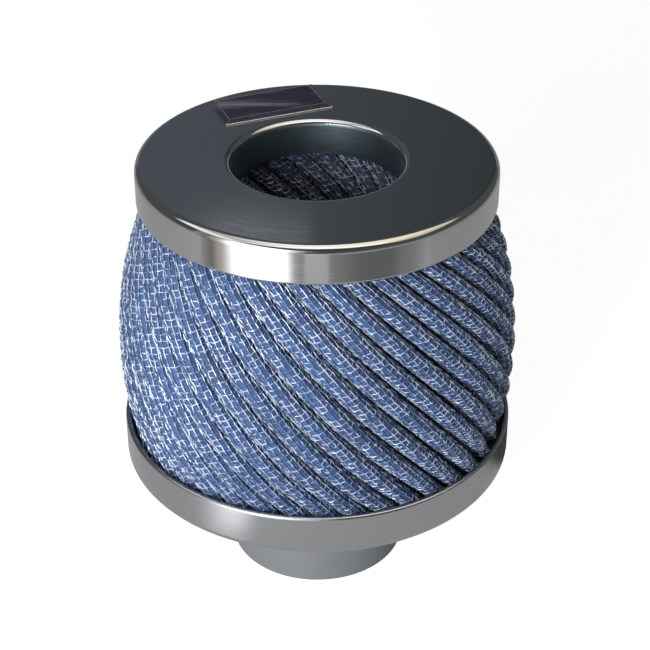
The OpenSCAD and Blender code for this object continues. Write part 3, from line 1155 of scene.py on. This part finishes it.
@dataclass
class BadgePlate(SubAssembly):
    """The blank plate on the cap, with its dark inlay."""

    length: float = 44.0
    width: float = 22.5
    height: float = 1.4
    bevel: float = 2.2
    edge: float = 0.4
    crest: float = 0.5
    inlay_t: float = 0.5
    gap: float = 0.1
    azimuth: float = 112.0
    middle_r: float = 49.1
    top_z: float = 172.0
    rounding: float = 0.12
    inlay_play: float = 0.05
    bevel_match: float = 0.03

    def seat(self, work: BMesh, z: float) -> None:
        """Turns and moves a flat mesh to the badge's place.

        Args:
            work: The mesh, round the origin.
            z: Its foot's height above the cap's top.
        """
        turn = Matrix.Rotation(math.radians(self.azimuth), 4, "Z")
        shift = Matrix.Translation((self.middle_r * MM, 0, (self.top_z + z) * MM))
        bmesh.ops.transform(work, matrix=turn @ shift, verts=work.verts[:])

    def block(self, width: float, length: float, height: float) -> BMesh:
        """Makes a block that stands on the origin.

        Args:
            width: Its size along X.
            length: Its size along Y.
            height: Its size along Z.

        Returns:
            The block.
        """
        work = bmesh.new()
        bmesh.ops.create_cube(work, size=1.0)
        bmesh.ops.translate(work, vec=(0, 0, 0.5), verts=work.verts[:])
        bmesh.ops.scale(work, vec=(width * MM, length * MM, height * MM), verts=work.verts[:])
        return work

    def soften(self, work: BMesh) -> None:
        """Rounds every edge a little."""
        bmesh.ops.bevel(work, geom=work.edges[:], offset=self.rounding * MM, offset_type="OFFSET",
                        affect="EDGES", segments=2, profile=0.5, material=-1)

    def plate(self) -> Object:
        """Builds the plate with its four bevels, its crest and the recess.

        Returns:
            The plate.
        """
        work = self.block(self.width, self.length, self.edge)
        top = [max(work.faces, key=lambda face: face.calc_center_median().z)]
        steps = ((self.bevel, self.height - self.edge), (self.crest, 0.0), (self.gap / 2, -self.inlay_t))
        for inset, rise in steps:
            bmesh.ops.inset_region(work, faces=top, thickness=inset * MM, depth=rise * MM, use_even_offset=True)
        self.soften(work)
        bmesh.ops.recalc_face_normals(work, faces=work.faces[:])
        self.seat(work, 0)
        return level_shading(finish_mesh("badge_rim", work))

    def inlay(self) -> Object:
        """Builds the inlay that lies in the recess.

        Returns:
            The inlay.
        """
        side = 2 * (self.bevel + self.crest + self.gap)
        work = self.block(self.width - side, self.length - side, self.inlay_t - self.inlay_play)
        self.soften(work)
        self.seat(work, self.height - self.inlay_t)
        return level_shading(finish_mesh("badge_field", work))

    def build(self) -> list[Object]:
        """See SubAssembly.build."""
        rim = self.mount(self.plate(), BADGE_PLATE, "badge", "badge_plate")
        rim.data.materials.append(BEVEL_FILM.material())
        slope = math.cos(math.atan((self.height - self.edge) / self.bevel))
        for face in rim.data.polygons:
            face.material_index = int(abs(face.normal.z - slope) < self.bevel_match)
        return [rim, self.mount(self.inlay(), InlayFilm("inlay_film"), "inlay", "badge_inlay")]


@dataclass
class BaseRing(SubAssembly):
    """The plated ring round the foot of the wall, with its rolled lip and its turned-in flange."""

    radius: float = 76.0
    foot_z: float = 47.3
    height: float = 17.0
    sheet: float = 0.8
    edge_round: float = 3.0
    lip: float = 1.1
    flange: float = 9.0

    def build(self) -> list[Object]:
        """See SubAssembly.build."""
        head = self.foot_z + self.height
        lip_r = self.radius - 2 * self.lip
        section = [
            Corner(lip_r, head - self.lip * ROLL_END),
            Corner(lip_r, head, self.lip * ROLL),
            Corner(self.radius, head, self.lip * ROLL),
            Corner(self.radius, self.foot_z, self.edge_round),
            Corner(self.radius - self.flange, self.foot_z),
        ]
        return [self.mount(press("ring_pressing", section, self.sheet), RING_PLATE, "plated_steel", "base_ring")]


@dataclass
class NeckMoulding(SubAssembly):
    """The moulded floor with its upstand and the neck that takes the pipe."""

    bore_r: float = 31.75
    wall: float = 3.0
    floor_z: float = 48.1
    floor_t: float = 5.0
    floor_r: float = 75.1
    floor_round: float = 3.0
    bell: float = 3.5
    fillet: float = 4.0
    mouth_round: float = 1.5
    mouth_lead: float = 0.5
    upstand_r: float = 55.8
    upstand_w: float = 2.5
    upstand_h: float = 5.2
    upstand_round: float = 0.6

    def build(self) -> list[Object]:
        """See SubAssembly.build."""
        neck_r = self.bore_r + self.wall
        top = self.floor_z + self.floor_t
        head = top + self.upstand_h
        section = [
            Corner(self.bore_r, 0.0, self.mouth_lead),
            Corner(self.bore_r, top, self.bell),
            Corner(self.upstand_r - self.upstand_w, top, self.upstand_round),
            Corner(self.upstand_r - self.upstand_w, head, self.upstand_round),
            Corner(self.upstand_r, head, self.upstand_round),
            Corner(self.upstand_r, top),
            Corner(self.floor_r, top),
            Corner(self.floor_r, self.floor_z, self.floor_round),
            Corner(neck_r, self.floor_z, self.fillet),
            Corner(neck_r, 0.0, self.mouth_round),
        ]
        floor = level_shading(Turner().turn("neck_and_floor", section, closed=True))
        return [self.mount(floor, NECK_RUBBER, "moulding", "base_moulding")]


@dataclass
class Potting(SubAssembly):
    """The three pours of compound that hold the ends of the packs."""

    cap_inner: float = 32.6
    cap_outer: float = 66.1
    cap_foot: float = 164.2
    cap_head: float = 171.2
    cap_cut: float = 2.5
    base_inner: float = 55.9
    base_outer: float = 75.1
    base_foot: float = 53.1
    base_head: float = 58.3
    cup_r: float = 31.42
    cup_foot: float = 99.2
    cup_head: float = 102.2
    cup_cut: float = 2.4

    def ring(self, name: str, inner: float, outer: float, foot: float, head: float, cut: float = 0.0) -> Object:
        """Builds one pour.

        Args:
            name: The piece's name.
            inner: Its inner radius.
            outer: Its outer radius.
            foot: Its lowest height.
            head: Its highest height.
            cut: The rounding of its upper corners.

        Returns:
            The pour.
        """
        section = [Corner(inner, foot), Corner(inner, head, cut), Corner(outer, head, cut), Corner(outer, foot)]
        return Turner().turn(name, section, closed=True)

    def build(self) -> list[Object]:
        """See SubAssembly.build."""
        cap = self.ring("cap_pour", self.cap_inner, self.cap_outer, self.cap_foot, self.cap_head, self.cap_cut)
        base = self.ring("base_pour", self.base_inner, self.base_outer, self.base_foot, self.base_head)
        cup_section = [Corner(0, self.cup_head), Corner(self.cup_r, self.cup_head),
                       Corner(self.cup_r, self.cup_foot, self.cup_cut), Corner(0, self.cup_foot)]
        cup = Turner().turn("cup_pour", cup_section, closed=False)
        return [self.mount(cap, COMPOUND, "potting", "top_potting"),
                self.mount(base, COMPOUND, "potting", "base_potting"),
                self.mount(cup, COMPOUND, "potting", "cone_potting")]


@dataclass
class ConeCup(SubAssembly):
    """The drawn cup that closes the cone's small end."""

    outer_r: float = 32.33
    foot: float = 98.4
    head: float = 106.2
    sheet: float = 0.8
    edge_round: float = 2.5

    def build(self) -> list[Object]:
        """See SubAssembly.build."""
        section = [Corner(self.outer_r, self.head), Corner(self.outer_r, self.foot, self.edge_round),
                   Corner(0, self.foot)]
        return [self.mount(press("drawn_cup", section, self.sheet), CUP_STEEL, "cup_steel", "cone_cup")]


def facing(at: Place, aim: Place, front: str = "-Z") -> Quaternion:
    """Turns a thing to its aim.

    Args:
        at: Where it stands.
        aim: The point that it faces.
        front: Its own axis that faces that point.

    Returns:
        Its turn.
    """
    return (Vector(aim) - Vector(at)).to_track_quat(front, "Y")


@dataclass(frozen=True)
class Softbox:
    """An area lamp that faces a point of the object."""

    name: str
    at: Place
    aim: Place
    size: tuple[float, float]
    radiance: float
    colour: Tone = WHITE

    def hang(self) -> None:
        """Makes the lamp, in metres, at the power that gives its face the stated radiance."""
        lamp = bpy.data.lights.new(self.name, "AREA")
        lamp.shape = "RECTANGLE"
        lamp.size, lamp.size_y = self.size
        lamp.energy = self.radiance * math.pi * self.size[0] * self.size[1]
        lamp.color = self.colour
        holder = show(self.name, lamp)
        holder.location = self.at
        holder.rotation_mode = "QUATERNION"
        holder.rotation_quaternion = facing(self.at, self.aim)
        holder.visible_camera = False


@dataclass(frozen=True)
class Card:
    """A softly lit card that only the metal's reflections show."""

    name: str
    at: Place
    aim: Place
    size: tuple[float, float]
    tones: tuple[tuple[float, Tone], ...]
    strength: float = 1.0

    def hang(self) -> None:
        """Makes the card, in metres, facing its aim, with its tones from one side to the other."""
        work = bmesh.new()
        work.loops.layers.uv.new("card")
        bmesh.ops.create_grid(work, x_segments=1, y_segments=1, size=0.5, calc_uvs=True)
        bmesh.ops.scale(work, vec=(self.size[0], self.size[1], 1), verts=work.verts[:])
        face = facing(self.at, self.aim, "Z").to_matrix().to_4x4()
        bmesh.ops.transform(work, matrix=Matrix.Translation(self.at) @ face, verts=work.verts[:])
        card = finish_mesh(self.name, work)
        paint = bpy.data.materials.new(self.name + "_paint")
        graph = Graph.blank(paint)
        across = graph.add("ShaderNodeSeparateXYZ", {"Vector": graph.add("ShaderNodeTexCoord").outputs["UV"]})
        ramp = graph.add("ShaderNodeValToRGB", {"Fac": across.outputs["X"]})
        ramp.color_ramp.interpolation = "EASE"
        for number, (place, tone) in enumerate(self.tones):
            stop = ramp.color_ramp.elements[number] if number < 2 else ramp.color_ramp.elements.new(place)
            stop.position = place
            stop.color = rgba(tone)
        glow = graph.add("ShaderNodeEmission", {"Color": ramp.outputs["Color"], "Strength": self.strength})
        graph.add("ShaderNodeOutputMaterial", {"Surface": glow.outputs[0]})
        card.data.materials.append(paint)
        card.visible_camera = card.visible_diffuse = card.visible_shadow = False


@dataclass
class Studio:
    """The floor, the lamps, the cards and the camera."""

    lens: float = 96.54
    camera_at: Place = (0.0, -0.57342, 0.45888)
    camera_aim: Place = (0.002987, 0.0, 0.099678)
    camera_roll: float = 0.118
    sensor: float = 36.0
    near: float = 0.01
    far: float = 50.0
    ambient: float = 0.12
    floor_tone: float = 0.5
    floor_lift: float = 0.86
    floor_mirrored: float = 0.25
    floor_size: float = 6.0

    def build(self) -> None:
        """Builds the whole studio."""
        self.light()
        self.floor()
        self.world()
        self.camera()

    def light(self) -> None:
        """Hangs the lamps and the cards."""
        lamps = [
            Softbox("key_box", (-0.36, -0.83, 0.40), (0.0, 0.0, 0.1), (0.34, 0.34), 24.0),
            Softbox("top_box", (0.0, -0.15, 0.95), (0.0, 0.0, 0.1), (0.9, 0.5), 1.0, (1.0, 0.97, 0.92)),
        ]
        cards = [
            Card("back_card", (0.0, 1.25, 0.9), (0.0, 0.0, 0.9), (1.6, 0.9),
                 ((0.34, (0.122, 0.142, 0.164)), (0.7, (0.058, 0.069, 0.074)))),
            Card("window_card", (-0.09, 1.24, 0.905), (-0.09, 0.0, 0.905), (0.16, 0.045),
                 ((0.0, (0.2, 0.21, 0.225)), (0.5, (0.45, 0.47, 0.5)), (1.0, (0.3, 0.315, 0.335)))),
            Card("skirt_card", (-0.1478, -0.2067, 0.155), (0.0465, -0.0001, 0.155), (0.30, 0.30),
                 ((0.0, (0.13, 0.13, 0.14)), (0.10, (0.2, 0.2, 0.2)), (0.23, WHITE), (0.60, WHITE),
                  (0.78, (0.24, 0.22, 0.2)), (0.87, (0.10, 0.095, 0.09)), (1.0, (0.17, 0.165, 0.15))), 3.0),
            Card("ring_card", (-0.0915, -0.1128, 0.012), (-0.0297, -0.0711, 0.05), (0.08, 0.035),
                 ((0.0, (0.3, 0.3, 0.3)), (0.42, WHITE), (1.0, (0.3, 0.3, 0.3))), 2.2),
            Card("ring_end_card", (0.125, 0.03, 0.02), (0.07, -0.035, 0.055), (0.13, 0.05),
                 ((0.0, (0.06, 0.065, 0.07)), (1.0, (0.04, 0.045, 0.05)))),
            Card("low_back_card", (0.0, 1.2, 0.33), (0.0, 0.0, 0.33), (1.6, 0.12),
                 ((0.0, (0.40, 0.45, 0.47)), (1.0, (0.46, 0.48, 0.50)))),
            Card("over_card", (0.0, -0.15, 0.93), (0.0, -0.15, 0.0), (2.4, 0.8),
                 ((0.0, (0.5, 0.44, 0.36)), (0.38, (1.0, 0.88, 0.70)), (0.52, WHITE),
                  (0.7, (0.45, 0.43, 0.40)), (0.82, WHITE), (1.0, (0.6, 0.6, 0.6))), 1.9),
            Card("front_card", (0.1, -1.0, 1.15), (0.0, 0.0, 0.17), (1.6, 0.7),
                 ((0.0, (0.06, 0.07, 0.075)), (1.0, (0.06, 0.065, 0.07)))),
            Card("right_card", (0.142, -0.2146, 0.045), (0.0, -0.07, 0.045), (0.30, 0.085),
                 ((0.0, (0.58, 0.585, 0.59)), (0.26, (0.33, 0.34, 0.34)), (0.42, (0.21, 0.22, 0.225)),
                  (0.6, (0.21, 0.22, 0.22)), (0.9, (0.34, 0.34, 0.33)), (1.0, (0.42, 0.42, 0.41)))),
        ]
        for item in lamps + cards:
            item.hang()

    def floor(self) -> None:
        """Makes the pale floor, which renders white and keeps the object's shadow."""
        work = bmesh.new()
        bmesh.ops.create_grid(work, x_segments=1, y_segments=1, size=self.floor_size)
        floor = finish_mesh("floor", work)
        paint = bpy.data.materials.new("floor_paint")
        graph = Graph.blank(paint)
        path = graph.add("ShaderNodeLightPath")
        seen = graph.math("MULTIPLY", path.outputs["Is Camera Ray"], self.floor_lift)
        lift = graph.math("MULTIPLY_ADD", path.outputs["Is Glossy Ray"], self.floor_mirrored, seen)
        matt = graph.add("ShaderNodeBsdfDiffuse", {"Color": rgba((self.floor_tone,) * 3)})
        glow = graph.add("ShaderNodeEmission", {"Strength": lift})
        both = graph.add("ShaderNodeAddShader", {0: matt.outputs[0], 1: glow.outputs[0]})
        graph.add("ShaderNodeOutputMaterial", {"Surface": both.outputs[0]})
        floor.data.materials.append(paint)

    def world(self) -> None:
        """Makes a surround that is white to the camera and lights the object at a plain level."""
        world = bpy.data.worlds.new("studio")
        graph = Graph.blank(world)
        path = graph.add("ShaderNodeLightPath")
        strength = graph.math("MULTIPLY_ADD", path.outputs["Is Camera Ray"], 1.0 - self.ambient, self.ambient)
        sky = graph.add("ShaderNodeBackground", {"Color": rgba(WHITE), "Strength": strength})
        graph.add("ShaderNodeOutputWorld", {"Surface": sky.outputs[0]})
        bpy.context.scene.world = world

    def camera(self) -> None:
        """Sets the camera at the photograph's angle."""
        lens = bpy.data.cameras.new("photo_camera")
        lens.lens = self.lens
        lens.sensor_width = self.sensor
        lens.clip_start, lens.clip_end = self.near, self.far
        camera = show("photo_camera", lens)
        camera.location = self.camera_at
        camera.rotation_mode = "QUATERNION"
        roll = Quaternion((0, 0, 1), math.radians(self.camera_roll))
        camera.rotation_quaternion = facing(self.camera_at, self.camera_aim) @ roll
        bpy.context.scene.camera = camera


def main() -> None:
    """Builds the filter and its studio in order."""
    logging.basicConfig(level=logging.INFO, format="%(message)s")
    bpy.context.scene.view_settings.view_transform = "Standard"
    assemblies: list[SubAssembly] = [Wall(), InnerCone(), PressedCap(), BadgePlate(), BaseRing(), NeckMoulding(),
                                     Potting(), ConeCup()]
    for assembly in assemblies:
        for piece in assembly.build():
            LOG.info("%s: %d faces", piece.name, len(piece.data.polygons))
    Studio().build()


if __name__ == "__main__":
    main()
